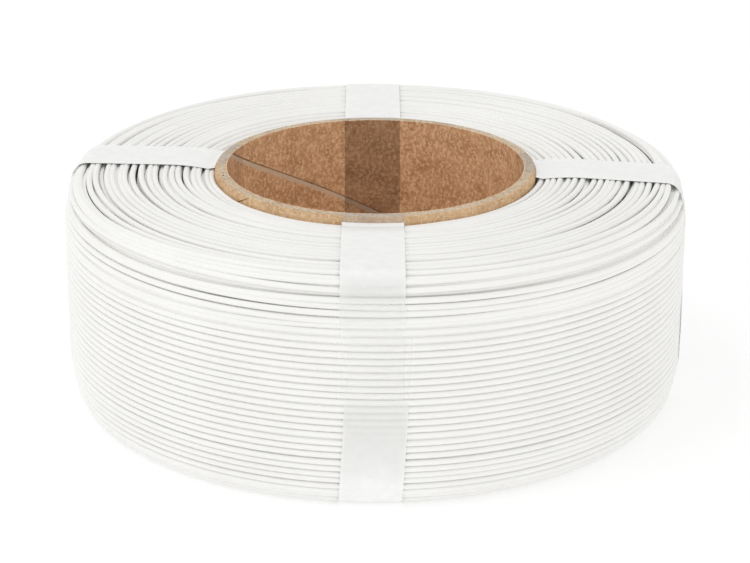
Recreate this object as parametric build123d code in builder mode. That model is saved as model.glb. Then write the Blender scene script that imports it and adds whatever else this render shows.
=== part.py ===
from build123d import *
import math
import os

# A refill coil of 1.75 mm filament: one strand wound layer on layer over a paper
# core, with no flanges, and four adhesive straps that hold the winding together.
# Millimetres, +Z up, the coil lies flat, the origin is under the centre of the bore.

# ---------------------------------------------------------------- driving sizes
COIL_DIAMETER = 180.0
BORE_DIAMETER = 86.0
CORE_LENGTH = 66.8
PLY_COUNT = 7
PLY_THICKNESS = 0.5
STRAND_DIAMETER = 1.75
TURN_PITCH = STRAND_DIAMETER + 0.16
LAYER_COUNT = 26
TAPE_WIDTH = 17.0
TAPE_THICKNESS = 0.1

# ------------------------------------------------------------------ clearances
TAPE_GAP = 0.02  # between a strap and what it lies on
LAYER_GAP = 0.02  # between a layer's crests and the next layer out

# ---------------------------------------------------------------------- levels
SEAT = TAPE_GAP + TAPE_THICKNESS  # the straps' undersides are at zero
CORE_TOP = SEAT + CORE_LENGTH
WINDING_TOP = CORE_TOP - 0.8
DISH_DEPTH = 1.2  # the winding's end is lower next to the core
DISH_WIDTH = 12.0

# ----------------------------------------------------------------------- radii
BORE_RADIUS = BORE_DIAMETER / 2
CORE_RADIUS = BORE_RADIUS + PLY_COUNT * PLY_THICKNESS
COIL_RADIUS = COIL_DIAMETER / 2
LAYER_PITCH = (COIL_RADIUS - CORE_RADIUS) / LAYER_COUNT

# ------------------------------------------------------------------- core ends
RIM_FLAT_WIDTH = 2.5  # the square-cut part of the tube's end
RIM_DROP = 1.5  # how far the rounded outer edge falls below the end
SEAM_WIDTH = 0.35
SEAM_PITCH = 136.0  # the strips' lead, one turn round the tube
LINER_SEAM_ANGLE = 167.0  # where the bore's seam meets the top end
PLY_STAGGER = 129.0  # from one ply's seam to the next
SEAM_OVERRUN = 2.0  # the cutter passes both ends of the tube

# ----------------------------------------------------------- winding shoulders
TOP_SHOULDER_WIDTH = 5.2
TOP_SHOULDER_HEIGHT = 11.5
BOTTOM_SHOULDER_WIDTH = 5.0
BOTTOM_SHOULDER_HEIGHT = 14.0
SCALLOP_DEPTH = 0.45  # the valley between two turns
END_ROUND = 0.5  # how far an end turn's crown stands out

# ---------------------------------------------------------------------- straps
# Each strap: the direction it runs in (degrees from +X), how far its centre line
# passes to the left of the axis, and the two heights between which its ends lap.
STRAPS = {
    "strap_front": (-90.0, -0.6, 32.0, 49.7),
    "strap_right": (-10.8, 10.2, 20.0, 36.0),
    "strap_back": (90.0, 0.9, 24.0, 41.0),
    "strap_left": (177.0, -6.8, 22.0, 39.0),
}


def end_dish(radius):
    """How far the winding's end lies below its highest level at this radius."""
    share = min(1.0, (radius - CORE_RADIUS) / DISH_WIDTH)
    return DISH_DEPTH * (1.0 - share) ** 2


def shoulder_fall(radius, width, height):
    """How far an elliptical shoulder has fallen at this radius."""
    reach = max(0.0, radius - (COIL_RADIUS - width)) / width
    return height * (1.0 - math.sqrt(max(0.0, 1.0 - reach * reach)))


def rim_fall(radius):
    """How far the core's rounded end edge has fallen at this radius."""
    round_width = CORE_RADIUS - BORE_RADIUS - RIM_FLAT_WIDTH
    reach = max(0.0, radius - BORE_RADIUS - RIM_FLAT_WIDTH) / round_width
    return RIM_DROP * (1.0 - math.sqrt(max(0.0, 1.0 - reach * reach)))


def core_ply(number):
    """One paper strip of the spiral-wound tube, with its own helical butt seam."""
    inner = BORE_RADIUS + number * PLY_THICKNESS
    outer = inner + PLY_THICKNESS
    seam_length = CORE_LENGTH + 2 * SEAM_OVERRUN
    seam_foot = Vector(0, 0, SEAT - SEAM_OVERRUN)
    with BuildPart() as ply:
        with BuildSketch(Plane.XZ):
            with BuildLine():
                Polyline(
                    (inner, SEAT + rim_fall(inner)),
                    (outer, SEAT + rim_fall(outer)),
                    (outer, CORE_TOP - rim_fall(outer)),
                    (inner, CORE_TOP - rim_fall(inner)),
                    close=True,
                )
            make_face()
        revolve(axis=Axis.Z)
        with BuildLine(Plane(origin=seam_foot)) as seam:
            Helix(SEAM_PITCH, seam_length, (inner + outer) / 2)
        outward = seam.line @ 0 - seam_foot
        with BuildSketch(Plane(origin=seam.line @ 0, x_dir=outward, z_dir=seam.line % 0)):
            Rectangle(2 * PLY_THICKNESS, SEAM_WIDTH)
        sweep(path=seam.line, is_frenet=True, mode=Mode.SUBTRACT)
    top_end_turn = 360 * (seam_length - SEAM_OVERRUN) / SEAM_PITCH
    seam_angle = LINER_SEAM_ANGLE + number * PLY_STAGGER
    return ply.part.rotate(Axis.Z, seam_angle - top_end_turn)


def filament_layer(number):
    """One wound layer: a sleeve whose outside shows its turns as round ribs."""
    inner = CORE_RADIUS + number * LAYER_PITCH
    crest = inner + LAYER_PITCH - LAYER_GAP
    valley = crest - SCALLOP_DEPTH
    middle = (inner + valley) / 2
    fall_below = shoulder_fall(crest, BOTTOM_SHOULDER_WIDTH, BOTTOM_SHOULDER_HEIGHT)
    fall_above = shoulder_fall(crest, TOP_SHOULDER_WIDTH, TOP_SHOULDER_HEIGHT)
    bottom = SEAT + end_dish(inner) + fall_below
    top = WINDING_TOP - end_dish(inner) - fall_above
    first_valley = bottom + END_ROUND
    last_valley = top - END_ROUND
    turns = math.floor((last_valley - first_valley) / TURN_PITCH)
    pitch = (last_valley - first_valley) / turns
    with BuildPart() as layer:
        with BuildSketch(Plane.XZ):
            with BuildLine():
                Line((inner, last_valley), (inner, first_valley))
                ThreePointArc((inner, first_valley), (middle, bottom), (valley, first_valley))
                for turn in range(turns):
                    low = first_valley + turn * pitch
                    ThreePointArc((valley, low), (crest, low + pitch / 2), (valley, low + pitch))
                ThreePointArc((valley, last_valley), (middle, top), (inner, last_valley))
            make_face()
        revolve(axis=Axis.Z)
    return layer.part


def strap_outline(clearance):
    """The closed line round one side of the coil, this far off its surface."""
    inside = BORE_RADIUS - clearance
    outside = COIL_RADIUS + clearance
    rim_edge = BORE_RADIUS + RIM_FLAT_WIDTH
    dish_edge = CORE_RADIUS + DISH_WIDTH / 2
    top_flat_end = COIL_RADIUS - TOP_SHOULDER_WIDTH
    bottom_flat_end = COIL_RADIUS - BOTTOM_SHOULDER_WIDTH
    top_shoulder_base = WINDING_TOP - TOP_SHOULDER_HEIGHT
    bottom_shoulder_base = SEAT + BOTTOM_SHOULDER_HEIGHT
    Polyline(
        (bottom_flat_end, SEAT - clearance),
        (inside, SEAT - clearance),
        (inside, CORE_TOP + clearance),
        (rim_edge, CORE_TOP + clearance),
        (dish_edge, WINDING_TOP + clearance),
        (top_flat_end, WINDING_TOP + clearance),
    )
    EllipticalCenterArc(
        (top_flat_end, top_shoulder_base),
        TOP_SHOULDER_WIDTH + clearance,
        TOP_SHOULDER_HEIGHT + clearance,
        start_angle=0,
        arc_size=90,
    )
    Line((outside, top_shoulder_base), (outside, bottom_shoulder_base))
    EllipticalCenterArc(
        (bottom_flat_end, bottom_shoulder_base),
        BOTTOM_SHOULDER_WIDTH + clearance,
        BOTTOM_SHOULDER_HEIGHT + clearance,
        start_angle=270,
        arc_size=90,
    )


def strap(direction, sideways, lap_bottom, lap_top):
    """A band of tape round the section: through the bore and over the outside."""
    lap_start = COIL_RADIUS + SEAT
    with BuildPart() as band:
        with BuildSketch(Plane.XZ):
            with BuildLine():
                strap_outline(TAPE_GAP + TAPE_THICKNESS)
            make_face()
            with BuildLine():
                strap_outline(TAPE_GAP)
            make_face(mode=Mode.SUBTRACT)
            with BuildLine():
                Polyline(
                    (lap_start, lap_bottom),
                    (lap_start + TAPE_THICKNESS, lap_bottom),
                    (lap_start + TAPE_THICKNESS, lap_top),
                    (lap_start, lap_top),
                    close=True,
                )
            make_face()
        revolve(axis=Axis.Z)
        with Locations(Location((0, 0, 0), (0, 0, direction))):
            with Locations((COIL_RADIUS, sideways, CORE_TOP / 2)):
                Box(2 * COIL_RADIUS, TAPE_WIDTH, 2 * CORE_LENGTH, mode=Mode.INTERSECT)
    return band.part


def save(part, name):
    """Labels one finished piece and writes it as its own file."""
    part.label = name
    export_step(part, f"parts/{name}.step")


os.makedirs("parts", exist_ok=True)

for ply_number in range(PLY_COUNT):
    if ply_number == 0:
        ply_name = "core_liner_ply"
    elif ply_number == PLY_COUNT - 1:
        ply_name = "core_outer_ply"
    else:
        ply_name = f"core_body_ply_{ply_number}"
    save(core_ply(ply_number), ply_name)

for layer_number in range(LAYER_COUNT):
    save(filament_layer(layer_number), f"filament_layer_{layer_number + 1:02d}")

for strap_name, layout in STRAPS.items():
    save(strap(*layout), strap_name)
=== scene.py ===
import math

import bpy
import numpy as np
from mathutils import Matrix, Vector


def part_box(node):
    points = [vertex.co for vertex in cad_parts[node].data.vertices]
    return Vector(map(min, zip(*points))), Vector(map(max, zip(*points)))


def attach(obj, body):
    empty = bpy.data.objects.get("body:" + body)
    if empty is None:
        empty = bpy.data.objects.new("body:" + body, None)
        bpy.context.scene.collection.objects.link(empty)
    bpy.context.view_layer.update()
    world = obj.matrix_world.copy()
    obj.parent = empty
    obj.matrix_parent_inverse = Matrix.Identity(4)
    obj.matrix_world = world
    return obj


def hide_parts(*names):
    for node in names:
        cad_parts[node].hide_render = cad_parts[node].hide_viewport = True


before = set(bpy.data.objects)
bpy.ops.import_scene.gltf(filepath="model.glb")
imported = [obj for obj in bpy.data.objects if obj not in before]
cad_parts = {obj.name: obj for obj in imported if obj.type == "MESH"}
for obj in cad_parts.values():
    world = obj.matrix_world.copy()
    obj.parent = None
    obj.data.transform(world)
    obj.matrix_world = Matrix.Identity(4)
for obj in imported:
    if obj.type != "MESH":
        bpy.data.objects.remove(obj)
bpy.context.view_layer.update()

# A refill coil of white filament: the strand is wound as one continuous spiral over
# the whole outside of the winding, from the core's upper end to its lower end. Each
# CAD layer is replaced by a piece that holds the turns that lie in that layer.

MM = 0.001
TURN = 2 * math.pi

# ------------------------------------------------------------------------ sizes
STRAND_RADIUS = 0.875 * MM
SIDE_SPACING = 1.91 * MM  # between turns on the coil's side
FACE_SPACING = 2.10 * MM  # and on its two ends, where they lie less evenly
LAYER_THICKNESS = 1.67 * MM
UNDER_DEPTH = 1.02 * MM  # the turns that lie in the valleys below the outer ones
BACKING_DEPTH = 0.95 * MM
BACKING_SETBACK = 2.4 * MM
TURN_SEGMENTS = 240
STRAND_SIDES = 10
UNDER_SEGMENTS = 144
UNDER_SIDES = 6
BACKING_SEGMENTS = 128
ENVELOPE_STEP = 0.1 * MM
ENVELOPE_ROUNDING = 2.4 * MM
KNOTS = 8192  # values in each run of smooth noise

# ----------------------------------------------------------------- strand's lay
CUT_ANGLE = math.radians(171.0)  # pieces meet under the left strap
LOOSE_FROM, LOOSE_OVER = 46.0 * MM, 7.0 * MM  # rows come loose above this height
LOOSE_OUTSIDE, LOOSE_ACROSS = 0.86, 4 * MM  # and outside this share of the radius
STEP_SHARE = 0.65  # of a turn's shift on an end is made in one short stretch
STEP_CENTRE, STEP_WIDTH = 0.47, 0.28
# slow sideways waves that neighbouring turns share: waves per turn, drift, size (mm)
BUNDLES = ((1, 0.13, 0.20), (2, 0.21, 0.16), (3, -0.17, 0.12), (1, -0.31, 0.14))
SIDE_BUNDLES, LOOSE_BUNDLES = 0.15, 0.8  # their size on the side and in loose rows
SIDE_WANDER, FACE_WANDER, LOOSE_WANDER = 0.05 * MM, 0.24 * MM, 0.50 * MM
KINK_SIZE, KINK_WIDTH = 0.32 * MM, math.radians(13.0)
KINK_ANGLES = [math.radians(a) for a in (171.0, -4.0, 90.0, -90.0)]  # near the straps
SIDE_SINK, FACE_SINK, LOOSE_SINK = 0.03 * MM, 0.18 * MM, 0.18 * MM
SINK_LIMIT = 1.3  # a turn sinks by at most so many times these
WANDER_KNOTS, KINK_KNOTS, SINK_KNOTS = 7.0, 2.0, 5.0  # new noise values per turn
END_MARGIN = STRAND_RADIUS * 0.6
STRAND_SEED, UNDER_SEED = 11, 23
SIDE_UPRIGHTNESS = 0.004  # below this a turn lies on the straight side

# ------------------------------------------------------------------------- core
RIM_FLAT = 2.5 * MM  # the rim and the seam are as in the CAD
RIM_DROP = 1.5 * MM
RIM_STEPS = 6
RIM_CORNER = 0.15 * MM
FRAY_SEGMENTS = 720
FRAY_KNOTS = 260.0
FRAY_RADIUS = 0.12 * MM
FRAY_SIDES = 6
FRAY_SIDE_SEED, FRAY_RISE_SEED = 41, 43
SEAM_LEAD = 136 * MM
SEAM_TOP_ANGLE = math.radians(167)
BAND_WIDTH = 1.6 * MM  # of the torn fibre beside the bore's seam

# ----------------------------------------------------------------------- straps
TAPE_WIDTH = 17.0 * MM
TAPE_THICKNESS = 0.07 * MM
TAPE_LIFT = 0.03 * MM
TAPE_ROWS = 12
PATH_STEP = 0.7 * MM
SIDE_TILT = 0.2  # a strap ends where the outline leans less than this
CORNER_STEP = 0.04 * MM
LAP_LIFT = 0.09 * MM
LAP_RAMP = 3 * MM  # the outer end rises onto the inner one over this length
CUT_WAVE, CUT_REACH = 0.3 * MM, 3 * MM  # the torn edge of a cut end
CUT_KNOTS, CUT_STRIDE, CUT_SEED = 7.0, 9.0, 5
SKEW_SHARE = 0.3  # of the strap's length, next to its outer end, leans sideways
SKEW_HEIGHT = 10 * MM
BRIDGE = 2.0 * MM  # the strap spans the gap between core and winding

# how milky the tape is up the coil's side, by share of the core's height
MILKINESS = (
    (0.10, 0.92), (0.30, 0.60), (0.455, 0.26), (0.475, 0.06),
    (0.742, 0.06), (0.76, 0.13), (0.90, 0.30), (0.985, 0.92),
)

# direction (degrees), centre line left of the axis (mm), heights of the two cut
# ends (mm), and how far the lower run leans sideways per unit of height
STRAPS = {
    "strap_front": (-90.0, -0.6, 32.0, 49.7, 0.055),
    "strap_right": (-10.8, 10.2, 20.0, 36.0, 0.0),
    "strap_back": (90.0, 0.9, 24.0, 41.0, -0.01),
    "strap_left": (177.0, -6.8, 22.0, 39.0, 0.01),
}

# ------------------------------------------------------------- camera and lamps
CAMERA_HEIGHT_ANGLE = math.radians(21.04)
CAMERA_DISTANCE = 0.720
CAMERA_AIM = Vector((0.0, 0.0, 0.0305))
CAMERA_LENS, CAMERA_SENSOR = 117.1, 36.0
CAMERA_ROLL = 0.003
FLOOR_REACH = 3.0
LAMPS = (  # place, size (metres) and power (watts)
    ("key", (-1.0, -0.2, 1.6), 1.4, 5.5),
    ("front", (0.5, -1.7, 0.8), 1.6, 2.4),
)


def smooth(x):
    """Goes from 0 to 1 with level ends as x does."""
    x = np.clip(x, 0.0, 1.0)
    return x * x * (3 - 2 * x)


def wander(position, seed):
    """Smooth noise of about unit size, with a new value every whole number."""
    values = np.random.default_rng(seed).normal(0.0, 1.0, KNOTS)
    low = np.floor(position).astype(int)
    share = smooth(position - low)
    return values[low % KNOTS] * (1 - share) + values[(low + 1) % KNOTS] * share


# ------------------------------------------------------------ what the CAD says
def node_radius(name):
    """The largest distance of a CAD node's surface from the coil's axis."""
    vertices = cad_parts[name].data.vertices
    corners = np.zeros(len(vertices) * 3, np.float32)
    vertices.foreach_get("co", corners)
    corners = corners.reshape(-1, 3)
    return float(np.hypot(corners[:, 0], corners[:, 1]).max())


LAYERS = sorted(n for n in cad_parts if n.startswith("filament_layer_"))
LAYER_CREST = np.array([node_radius(n) for n in LAYERS])
LAYER_BOTTOM = np.array([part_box(n)[0].z for n in LAYERS])
LAYER_TOP = np.array([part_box(n)[1].z for n in LAYERS])
CORE_RADIUS = node_radius("core_outer_ply")
LINER_RADIUS = node_radius("core_liner_ply")
PLY_THICKNESS = node_radius("core_body_ply_1") - LINER_RADIUS
BORE_RADIUS = LINER_RADIUS - PLY_THICKNESS
CORE_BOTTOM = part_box("core_liner_ply")[0].z
CORE_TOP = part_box("core_liner_ply")[1].z
COIL_RADIUS = LAYER_CREST[-1]


# ------------------------------------------------------------ winding's outline
class Outline:
    """The winding's section, from the core's upper end round to its lower end."""

    def __init__(self):
        start = (CORE_RADIUS, LAYER_TOP[0] + 0.1 * MM)
        end = (CORE_RADIUS, LAYER_BOTTOM[0] - 0.1 * MM)
        radii = np.concatenate([[start[0]], LAYER_CREST, LAYER_CREST[::-1], [end[0]]])
        heights = np.concatenate([[start[1]], LAYER_TOP, LAYER_BOTTOM[::-1], [end[1]]])
        steps = np.hypot(np.diff(radii), np.diff(heights))
        along = np.concatenate([[0.0], np.cumsum(steps)])
        fine = np.arange(0.0, along[-1], ENVELOPE_STEP)
        r, z = np.interp(fine, along, radii), np.interp(fine, along, heights)
        half = int(ENVELOPE_ROUNDING / ENVELOPE_STEP / 2)
        kernel = np.hanning(2 * half + 3)[1:-1]
        kernel = kernel / kernel.sum()
        self.r = np.convolve(np.pad(r, half, "edge"), kernel, "valid")
        self.z = np.convolve(np.pad(z, half, "edge"), kernel, "valid")
        steps = np.hypot(np.diff(self.r), np.diff(self.z))
        self.s = np.concatenate([[0.0], np.cumsum(steps)])
        slope_r, slope_z = np.gradient(self.r, self.s), np.gradient(self.z, self.s)
        size = np.hypot(slope_r, slope_z)
        self.out_r, self.out_z = -slope_z / size, slope_r / size
        self.length = self.s[-1]
        face = np.abs(self.out_z)
        spacing = SIDE_SPACING + (FACE_SPACING - SIDE_SPACING) * smooth(face)
        turns = np.cumsum(ENVELOPE_STEP / spacing)
        self.turns = turns - turns[0]
        self.total_turns = int(self.turns[-1])

    def place(self, turn_number):
        """Where along the outline the spiral is after so many turns."""
        share = turn_number / self.total_turns * self.turns[-1]
        return np.interp(share, self.turns, self.s)

    def point(self, s, outwards):
        """Radius and height at s along the outline, moved outwards by so much."""
        r, z = np.interp(s, self.s, self.r), np.interp(s, self.s, self.z)
        out_r, out_z = np.interp(s, self.s, self.out_r), np.interp(s, self.s, self.out_z)
        return r + out_r * outwards, z + out_z * outwards

    def uprightness(self, s):
        """1 on the upper end, 0 on the side, -1 on the lower end."""
        return np.interp(s, self.s, self.out_z)


OUTLINE = Outline()


# --------------------------------------------------------------- strand's path
def strand_path(first_turn, last_turn, segments, shift, depth, seed):
    """Angle, radius and height of the strand's centre line between two turns."""
    turns = np.linspace(first_turn, last_turn, (last_turn - first_turn) * segments + 1)
    angle = CUT_ANGLE + turns * TURN
    base = OUTLINE.place(turns)
    face = smooth(np.abs(OUTLINE.uprightness(base)))
    whole = np.floor(turns)
    stepped = whole + smooth((turns - whole - STEP_CENTRE) / STEP_WIDTH + 0.5)
    place = turns + STEP_SHARE * face * (stepped - turns)
    s = OUTLINE.place(np.clip(place + shift, 0.0, OUTLINE.total_turns))
    r, z = OUTLINE.point(s, 0.0)
    loose = smooth((z - LOOSE_FROM) / LOOSE_OVER)
    loose = loose * smooth((r - LOOSE_OUTSIDE * COIL_RADIUS) / LOOSE_ACROSS)
    for waves, drift, size in BUNDLES:
        phase = TURN * (waves + drift) * turns + seed * waves
        s = s + size * MM * (SIDE_BUNDLES + face + LOOSE_BUNDLES * loose) * np.sin(phase)
    free = SIDE_WANDER + FACE_WANDER * face + LOOSE_WANDER * loose
    s = s + free * wander(turns * WANDER_KNOTS, seed)
    for kink in KINK_ANGLES:
        away = (angle - kink + math.pi) % TURN - math.pi
        bump = np.exp(-((away / KINK_WIDTH) ** 2))
        s = s + KINK_SIZE * face * bump * wander(turns * KINK_KNOTS, seed + 1)
    sink = SIDE_SINK + FACE_SINK * face + LOOSE_SINK * loose
    sunk = depth + sink * np.minimum(np.abs(wander(turns * SINK_KNOTS, seed + 2)), SINK_LIMIT)
    s = np.clip(s, END_MARGIN, OUTLINE.length - END_MARGIN)
    r, z = OUTLINE.point(s, -STRAND_RADIUS - sunk)
    return angle, np.maximum(r, CORE_RADIUS + STRAND_RADIUS), z


class MeshParts:
    """Vertices and faces of one piece, put together from several shells."""

    def __init__(self):
        self.vertices, self.faces, self.count = [], [], 0

    def add(self, vertices, faces):
        self.vertices.append(vertices)
        self.faces.extend((np.asarray(f) + self.count).tolist() for f in faces)
        self.count += len(vertices)

    def add_tube(self, angle, r, z, sides, radius=STRAND_RADIUS):
        """A round closed tube along a path given in angle, radius and height."""
        around = np.arange(sides) * TURN / sides
        out = r[:, None] + radius * np.cos(around)
        up = z[:, None] + radius * np.sin(around)
        x, y = out * np.cos(angle)[:, None], out * np.sin(angle)[:, None]
        rows = len(angle)
        grid = np.arange(rows * sides).reshape(rows, sides)
        beside = np.roll(grid, -1, axis=1)
        quads = np.stack([grid[:-1], grid[1:], beside[1:], beside[:-1]], -1).reshape(-1, 4)
        caps = [grid[0], grid[-1][::-1]]
        self.add(np.stack([x, y, up], -1).reshape(-1, 3), [*quads, *caps])

    def add_ring(self, inner, outer, bottom, top, segments):
        """A closed ring of rectangular section round the coil's axis."""
        section = np.array([(inner, bottom), (outer, bottom), (outer, top), (inner, top)])
        angle = np.arange(segments) * TURN / segments
        x, y = np.outer(np.cos(angle), section[:, 0]), np.outer(np.sin(angle), section[:, 0])
        z = np.broadcast_to(section[:, 1], x.shape)
        grid = np.arange(segments * 4).reshape(segments, 4)
        ahead, beside = np.roll(grid, -1, axis=0), np.roll(grid, -1, axis=1)
        both = np.roll(ahead, -1, axis=1)
        quads = np.stack([grid, beside, both, ahead], -1).reshape(-1, 4)[:, ::-1]
        self.add(np.stack([x, y, z], -1).reshape(-1, 3), quads)

    def build(self, name, material, slot, node=None):
        """Makes the piece's object, which stands for its CAD node if it has one."""
        mesh = bpy.data.meshes.new(name)
        mesh.from_pydata(np.concatenate(self.vertices).tolist(), [], self.faces)
        mesh.validate()
        mesh.shade_smooth()
        mesh.set_sharp_from_angle(angle=math.radians(50))
        mesh.materials.append(material)
        piece = bpy.data.objects.new(name, mesh)
        bpy.context.scene.collection.objects.link(piece)
        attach(piece, "root")
        if node:
            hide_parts(node)
        return piece


# -------------------------------------------------------------------- materials
class Nodes:
    """A material under construction: its node tree with short ways to add to it."""

    def __init__(self, name):
        self.material = bpy.data.materials.new(name)
        self.material.use_nodes = True
        self.tree = self.material.node_tree
        self.shader = self.tree.nodes["Principled BSDF"]
        self.place = self.new("ShaderNodeTexCoord").outputs["Object"]

    def new(self, kind, **settings):
        node = self.tree.nodes.new(kind)
        for key, value in settings.items():
            setattr(node, key, value)
        return node

    def link(self, source, target):
        self.tree.links.new(source, target)

    def set(self, **values):
        for key, value in values.items():
            self.shader.inputs[key.replace("_", " ")].default_value = value

    def noise(self, scale, detail=3.0, roughness=0.55, stretch=(1, 1, 1)):
        mapping = self.new("ShaderNodeMapping")
        mapping.inputs["Scale"].default_value = stretch
        self.link(self.place, mapping.inputs["Vector"])
        noise = self.new("ShaderNodeTexNoise")
        noise.inputs["Scale"].default_value = scale
        noise.inputs["Detail"].default_value = detail
        noise.inputs["Roughness"].default_value = roughness
        self.link(mapping.outputs["Vector"], noise.inputs["Vector"])
        return noise.outputs["Fac"]

    def ramp(self, source, *stops):
        ramp = self.new("ShaderNodeValToRGB")
        elements = ramp.color_ramp.elements
        elements.remove(elements[1])
        elements[0].position, elements[0].color = stops[0][0], (*stops[0][1], 1.0)
        for position, colour in stops[1:]:
            elements.new(position).color = (*colour, 1.0)
        self.link(source, ramp.inputs["Fac"])
        return ramp.outputs["Color"]

    def axes(self):
        """The three coordinates of the shaded point, in metres."""
        split = self.new("ShaderNodeSeparateXYZ")
        self.link(self.place, split.inputs["Vector"])
        return split.outputs["X"], split.outputs["Y"], split.outputs["Z"]

    def math(self, operation, first, second=0.0):
        node = self.new("ShaderNodeMath", operation=operation)
        for socket, value in zip(node.inputs, (first, second)):
            if isinstance(value, (int, float)):
                socket.default_value = value
            else:
                self.link(value, socket)
        return node.outputs["Value"]

    def mix(self, factor, first, second):
        node = self.new("ShaderNodeMix", data_type="RGBA")
        sockets = node.inputs[0], node.inputs[6], node.inputs[7]  # factor, colours A and B
        for socket, value in zip(sockets, (factor, first, second)):
            if isinstance(value, (int, float)):
                socket.default_value = value
            elif isinstance(value, tuple):
                socket.default_value = (*value, 1.0)
            else:
                self.link(value, socket)
        return node.outputs[2]

    def bump(self, height, strength, distance):
        node = self.new("ShaderNodeBump")
        node.inputs["Strength"].default_value = strength
        node.inputs["Distance"].default_value = distance
        self.link(height, node.inputs["Height"])
        self.link(node.outputs["Normal"], self.shader.inputs["Normal"])

    def radius(self):
        """Distance from the coil's axis, in metres."""
        x, y, _ = self.axes()
        squares = self.math("ADD", self.math("MULTIPLY", x, x), self.math("MULTIPLY", y, y))
        return self.math("SQRT", squares)


def grey(level):
    """A linear colour without hue."""
    return level, level, level


def linear(red, green, blue):
    """A linear colour from the 0 to 255 values that a screen shows."""
    def one(value):
        value /= 255
        return value / 12.92 if value <= 0.04045 else ((value + 0.055) / 1.055) ** 2.4
    return one(red), one(green), one(blue)


def filament_material():
    """White extruded thermoplastic: satin, faintly cloudy, with fine die lines."""
    n = Nodes("white_filament")
    colour = n.ramp(n.noise(45, 4), (0.3, (0.885, 0.880, 0.856)), (0.7, (0.915, 0.910, 0.890)))
    n.link(colour, n.shader.inputs["Base Color"])
    gloss = n.ramp(n.noise(900, 2), (0.3, grey(0.36)), (0.7, grey(0.50)))
    n.link(gloss, n.shader.inputs["Roughness"])
    n.set(IOR=1.46, Specular_IOR_Level=0.45)
    n.bump(n.noise(2600, 2, stretch=(1, 1, 3)), 0.10, 0.00006)
    return n.material


def card_material(name, light, dark, speck, seam=False):
    """Recycled paper: soft fibres, darker and lighter specks, a matt surface."""
    n = Nodes(name)
    colour = n.ramp(n.noise(170, 5, 0.65), (0.30, dark), (0.70, light))
    fibre = n.ramp(n.noise(1050, 3, 0.75, stretch=(1, 1, 0.8)), (0.46, grey(0)), (0.60, grey(0.7)))
    colour = n.mix(fibre, colour, speck)
    dots = n.ramp(n.noise(1000, 2, 0.5), (0.66, grey(0)), (0.72, grey(0.6)))
    colour = n.mix(dots, colour, tuple(c * 0.5 for c in dark))
    if seam:
        colour = n.mix(seam_mask(n), colour, linear(206, 186, 162))
    n.link(colour, n.shader.inputs["Base Color"])
    n.set(Roughness=0.85, Specular_IOR_Level=0.25)
    n.bump(n.noise(1900, 4, 0.7), 0.5, 0.00015)
    return n.material


def seam_mask(n):
    """How far the pale torn fibre below the bore's seam covers the liner's colour."""
    x, y, z = n.axes()
    angle = n.math("ARCTAN2", y, x)
    climb = n.math("MULTIPLY", n.math("SUBTRACT", angle, SEAM_TOP_ANGLE), SEAM_LEAD / TURN)
    below = n.math("SUBTRACT", n.math("ADD", climb, CORE_TOP), z)
    ragged = n.math("MULTIPLY", n.math("SUBTRACT", n.noise(700, 3), 0.5), 1.2 * MM)
    share = n.math("DIVIDE", n.math("ADD", below, ragged), 4 * BAND_WIDTH)
    return n.ramp(share, (0.0, grey(0)), (0.04, grey(0.85)), (0.24, grey(0.75)), (0.30, grey(0)))


def tape_material():
    """Clear tape: milky where it bridges the strands, clear where it lies flat."""
    n = Nodes("clear_tape")
    radius = n.radius()
    _, y, z = n.axes()
    on_card = n.math("LESS_THAN", radius, CORE_RADIUS + 0.1 * MM)
    in_bore = n.math("LESS_THAN", radius, BORE_RADIUS + 0.02 * MM)
    on_side = n.math("GREATER_THAN", radius, COIL_RADIUS - 6 * MM)
    side = n.ramp(n.math("DIVIDE", z, CORE_TOP), *((at, grey(milk)) for at, milk in MILKINESS))
    alpha = n.mix(on_side, grey(0.9), side)
    alpha = n.mix(on_card, alpha, grey(0.15))
    back_strap = n.math("GREATER_THAN", y, BORE_RADIUS / 2)
    other_in_bore = n.math("MULTIPLY", in_bore, n.math("SUBTRACT", 1.0, back_strap))
    alpha = n.mix(other_in_bore, alpha, grey(0.05))
    streak = n.ramp(n.noise(300, 3), (0.3, grey(0.93)), (0.7, grey(1.0)))
    alpha = n.math("MULTIPLY", alpha, streak)
    white = n.ramp(n.noise(120, 2), (0.3, (0.980, 0.980, 0.965)), (0.7, (0.990, 0.990, 0.975)))
    colour = n.mix(on_card, white, linear(205, 203, 200))
    colour = n.mix(in_bore, colour, linear(92, 58, 36))
    n.link(colour, n.shader.inputs["Base Color"])
    n.link(alpha, n.shader.inputs["Alpha"])
    n.set(Roughness=0.25, IOR=1.45, Specular_IOR_Level=0.3)
    n.bump(n.noise(90, 2), 0.15, 0.0003)
    return n.material


FILAMENT = filament_material()
TAPE = tape_material()
LINER = card_material(
    "kraft_liner", linear(210, 164, 122), linear(170, 126, 88), linear(238, 202, 162), seam=True
)
OUTER_KRAFT = card_material(
    "kraft_outer", linear(212, 178, 138), linear(182, 143, 102), linear(226, 198, 164)
)
TORN_CARD = card_material("torn_card", linear(232, 212, 184), linear(200, 176, 146), linear(240, 226, 206))
GREY_CARD = card_material("grey_board", linear(206, 186, 160), linear(170, 146, 118), linear(222, 208, 188))


# ------------------------------------------------------------------ the winding
def layer_of(radius):
    """The number of the CAD layer whose thickness holds this radius."""
    return int(np.clip(np.searchsorted(LAYER_CREST, radius), 0, len(LAYERS) - 1))


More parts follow.
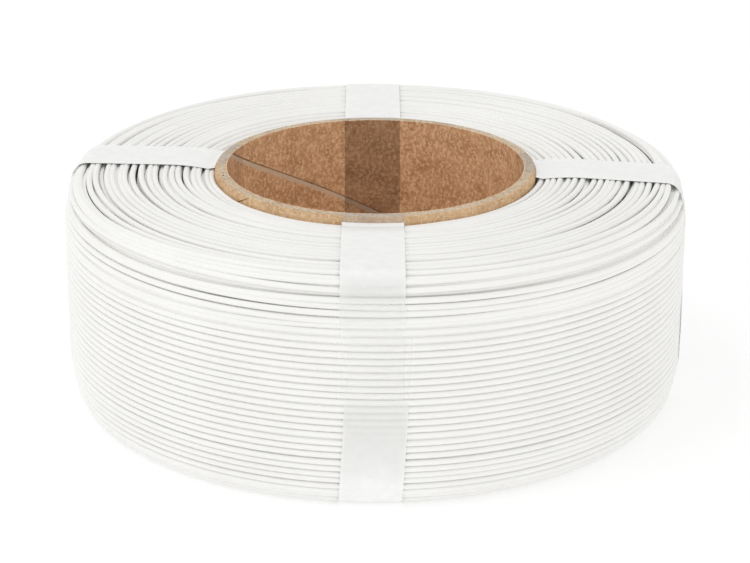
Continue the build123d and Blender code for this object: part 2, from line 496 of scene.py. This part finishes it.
def build_winding():
    """The strand turn by turn, shared out over one piece for each CAD layer."""
    parts = [MeshParts() for _ in LAYERS]
    for number, part in enumerate(parts):
        crest = LAYER_CREST[number]
        bottom, top = LAYER_BOTTOM[number] + BACKING_SETBACK, LAYER_TOP[number] - BACKING_SETBACK
        part.add_ring(crest - LAYER_THICKNESS, crest - BACKING_DEPTH, bottom, top, BACKING_SEGMENTS)
    for turn in range(OUTLINE.total_turns):
        angle, r, z = strand_path(turn, turn + 1, TURN_SEGMENTS, 0.0, 0.0, STRAND_SEED)
        parts[layer_of(r.mean())].add_tube(angle, r, z, STRAND_SIDES)
        nearby = OUTLINE.uprightness(OUTLINE.place(turn + np.array([-2.0, 0.5, 3.0])))
        if np.abs(nearby).max() > SIDE_UPRIGHTNESS:
            angle, r, z = strand_path(turn, turn + 1, UNDER_SEGMENTS, 0.5, UNDER_DEPTH, UNDER_SEED)
            parts[layer_of(r.mean())].add_tube(angle, r, z, UNDER_SIDES)
    for name, part in zip(LAYERS, parts):
        part.build("wound_" + name, FILAMENT, "filament", name)


# ------------------------------------------------------------------- the straps
def rim_points():
    """The core's end as the strap crosses it, from the winding to the bore."""
    width = CORE_RADIUS - BORE_RADIUS - RIM_FLAT
    points = []
    for share in np.linspace(1.0, 0.0, RIM_STEPS):
        fall = RIM_DROP * (1 - math.sqrt(max(0.0, 1 - share * share)))
        points.append((BORE_RADIUS + RIM_FLAT + width * share, CORE_TOP - fall))
    points.append((BORE_RADIUS + RIM_CORNER, CORE_TOP))
    points.append((BORE_RADIUS, CORE_TOP - RIM_CORNER))
    return points


def strap_section(cut_low, cut_high):
    """The strap's way round the section, as radius, height and outward normal."""
    side = np.abs(OUTLINE.out_z) < SIDE_TILT
    first = int(np.argmin(np.where(side, np.abs(OUTLINE.z - cut_low), np.inf)))
    last = int(np.argmin(np.where(side, np.abs(OUTLINE.z - cut_high), np.inf)))
    up = list(zip(OUTLINE.r[:first + 1][::-1], OUTLINE.z[:first + 1][::-1]))
    up = [p for p in up if p[0] > CORE_RADIUS + BRIDGE]
    rim = rim_points()
    under = [(r, CORE_TOP + CORE_BOTTOM - z) for r, z in reversed(rim)]
    back = list(zip(OUTLINE.r[last:][::-1], OUTLINE.z[last:][::-1]))
    back = [p for p in back if p[0] > CORE_RADIUS + BRIDGE]
    points = np.array(up + rim + under + back)
    steps = np.hypot(*np.diff(points, axis=0).T)
    keep = np.concatenate([[True], steps > 1e-7])
    points = points[keep]
    along = np.concatenate([[0.0], np.cumsum(np.hypot(*np.diff(points, axis=0).T))])
    corners = along[np.isin(points, np.array(rim + under)).all(axis=1)]
    even = np.linspace(0, along[-1], int(along[-1] / PATH_STEP))
    fine = np.unique(np.concatenate([even, corners]))
    fine = fine[np.concatenate([[True], np.diff(fine) > CORNER_STEP])]
    r, z = np.interp(fine, along, points[:, 0]), np.interp(fine, along, points[:, 1])
    slope_r, slope_z = np.gradient(r, fine), np.gradient(z, fine)
    size = np.hypot(slope_r, slope_z)
    return fine, r, z, slope_z / size, -slope_r / size


def band_faces(rows, columns):
    """The faces of a thin closed band: both sides, both long edges and both ends."""
    low = np.arange(rows * columns).reshape(rows, columns)
    high = low + rows * columns
    inside = np.stack([low[:-1, :-1], low[1:, :-1], low[1:, 1:], low[:-1, 1:]], -1).reshape(-1, 4)
    outside = np.stack([high[:-1, :-1], high[:-1, 1:], high[1:, 1:], high[1:, :-1]], -1).reshape(-1, 4)
    faces = [*inside, *outside]
    for column, flip in ((0, 1), (-1, -1)):
        wall = np.stack([low[:-1, column], high[:-1, column], high[1:, column], low[1:, column]], -1)
        faces += [*wall[:, ::flip]]
    for row, flip in ((0, -1), (-1, 1)):
        wall = np.stack([low[row, :-1], high[row, :-1], high[row, 1:], low[row, 1:]], -1)
        faces += [*wall[:, ::flip]]
    return faces


def build_strap(name, direction, sideways, cut_low, cut_high, skew, order):
    """One strap: a thin band that follows the section all the way round."""
    cut_low, cut_high, sideways = cut_low * MM, cut_high * MM, sideways * MM
    along, r, z, out_r, out_z = strap_section(cut_low, cut_high)
    to_end = along[-1] - along
    lap = cut_high - cut_low
    lift = TAPE_LIFT + LAP_LIFT * smooth((lap + LAP_RAMP - to_end) / LAP_RAMP)
    across = np.linspace(-0.5, 0.5, TAPE_ROWS) * TAPE_WIDTH
    start = order * CUT_STRIDE
    wave = CUT_WAVE * wander(np.linspace(start, start + CUT_KNOTS, TAPE_ROWS), CUT_SEED)
    ragged = np.clip(1 - along / CUT_REACH, 0.0, 1.0)[:, None] * wave[None, :]
    drift = skew * np.where(to_end < along[-1] * SKEW_SHARE, z - SKEW_HEIGHT, 0.0)
    shells = []
    turn = np.array(Matrix.Rotation(math.radians(direction), 3, "Z"))
    for extra in (0.0, TAPE_THICKNESS):
        rr = r + out_r * (lift + extra)
        zz = z + out_z * (lift + extra)
        side = sideways + across[None, :] + drift[:, None]
        x = np.sqrt(np.maximum(rr[:, None] ** 2 - side ** 2, 0.0))
        grid = np.stack([x, side, zz[:, None] + ragged], -1)
        shells.append(grid.reshape(-1, 3) @ turn.T)
    part = MeshParts()
    part.add(np.concatenate(shells), band_faces(len(along), TAPE_ROWS))
    part.build("tape_" + name, TAPE, "tape", name)


# --------------------------------------------------------------------- the core
def paper_core():
    """The core's paper strips keep their CAD shape and get their paper."""
    papers = {"core_liner_ply": LINER, "core_outer_ply": OUTER_KRAFT}
    for name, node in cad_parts.items():
        if name.startswith("core_"):
            number = int(name[-1]) if name[-1].isdigit() else 0
            paper = papers.get(name, GREY_CARD if number < 5 else OUTER_KRAFT)
            for slot in node.material_slots:
                slot.material = paper


def build_frays():
    """The frayed fibre round both ends of the bore."""
    angle = np.linspace(0.0, TURN, FRAY_SEGMENTS)
    around = np.linspace(0.0, FRAY_KNOTS, FRAY_SEGMENTS)
    for end, height in (("top", CORE_TOP - 0.02 * MM), ("bottom", CORE_BOTTOM + 0.12 * MM)):
        fray = MeshParts()
        r = BORE_RADIUS + 0.20 * MM + 0.07 * MM * wander(around, FRAY_SIDE_SEED)
        z = height + 0.03 * MM * wander(around, FRAY_RISE_SEED)
        fray.add_tube(angle, r, z, FRAY_SIDES, FRAY_RADIUS)
        fray.build("fray_" + end, TORN_CARD, "kraft_card")


# ------------------------------------------------------------------------ stage
def build_world(scene):
    """An even white studio, brightest at the horizon."""
    world = bpy.data.worlds.new("studio")
    scene.world = world
    world.use_nodes = True
    tree = world.node_tree
    direction = tree.nodes.new("ShaderNodeTexCoord").outputs["Generated"]
    split = tree.nodes.new("ShaderNodeSeparateXYZ")
    tree.links.new(direction, split.inputs["Vector"])
    sky = tree.nodes.new("ShaderNodeValToRGB")
    for element, position, level in zip(sky.color_ramp.elements, (0.12, 0.5), (1.0, 0.84)):
        element.position, element.color = position, (*grey(level), 1.0)
    tree.links.new(split.outputs["Z"], sky.inputs["Fac"])
    tree.links.new(sky.outputs["Color"], tree.nodes["Background"].inputs["Color"])


def build_floor(scene):
    """A pale sheet that nearly disappears into the white behind it."""
    mesh = bpy.data.meshes.new("floor")
    corners = [(x * FLOOR_REACH, y * FLOOR_REACH, 0) for x, y in ((-1, -1), (1, -1), (1, 1), (-1, 1))]
    mesh.from_pydata(corners, [], [(0, 1, 2, 3)])
    floor = bpy.data.objects.new("floor", mesh)
    scene.collection.objects.link(floor)
    n = Nodes("pale_floor")
    n.link(n.ramp(n.noise(3), (0.3, grey(0.60)), (0.7, grey(0.62))), n.shader.inputs["Base Color"])
    n.set(Roughness=0.9, Specular_IOR_Level=0.1, Emission_Color=(1, 1, 1, 1), Emission_Strength=0.44)
    mesh.materials.append(n.material)


def build_lights(scene):
    """Two soft lamps aimed at the coil, one high on the left and one in front."""
    for name, place, size, power in LAMPS:
        light = bpy.data.lights.new(name, "AREA")
        light.size, light.energy = size, power
        lamp = bpy.data.objects.new(name, light)
        lamp.location = place
        lamp.rotation_euler = (-Vector(place)).to_track_quat("-Z", "Y").to_euler()
        scene.collection.objects.link(lamp)


def build_camera(scene):
    """The camera looks down on the coil's front from a little above it."""
    lens = bpy.data.cameras.new("camera")
    lens.lens, lens.sensor_width = CAMERA_LENS, CAMERA_SENSOR
    camera = bpy.data.objects.new("camera", lens)
    back = Vector((0, -math.cos(CAMERA_HEIGHT_ANGLE), math.sin(CAMERA_HEIGHT_ANGLE)))
    camera.location = CAMERA_AIM + CAMERA_DISTANCE * back
    look = (-back).to_track_quat("-Z", "Y").to_matrix() @ Matrix.Rotation(CAMERA_ROLL, 3, "Z")
    camera.rotation_euler = look.to_euler()
    scene.collection.objects.link(camera)
    scene.camera = camera


studio = bpy.context.scene
studio.view_settings.view_transform = "Standard"
studio.cycles.transparent_max_bounces = 32  # the straps' laps are four surfaces deep
build_world(studio)
build_floor(studio)
build_lights(studio)
build_camera(studio)
build_winding()
for strap_number, (strap_name, layout) in enumerate(STRAPS.items()):
    build_strap(strap_name, *layout, order=strap_number)
paper_core()
build_frays()
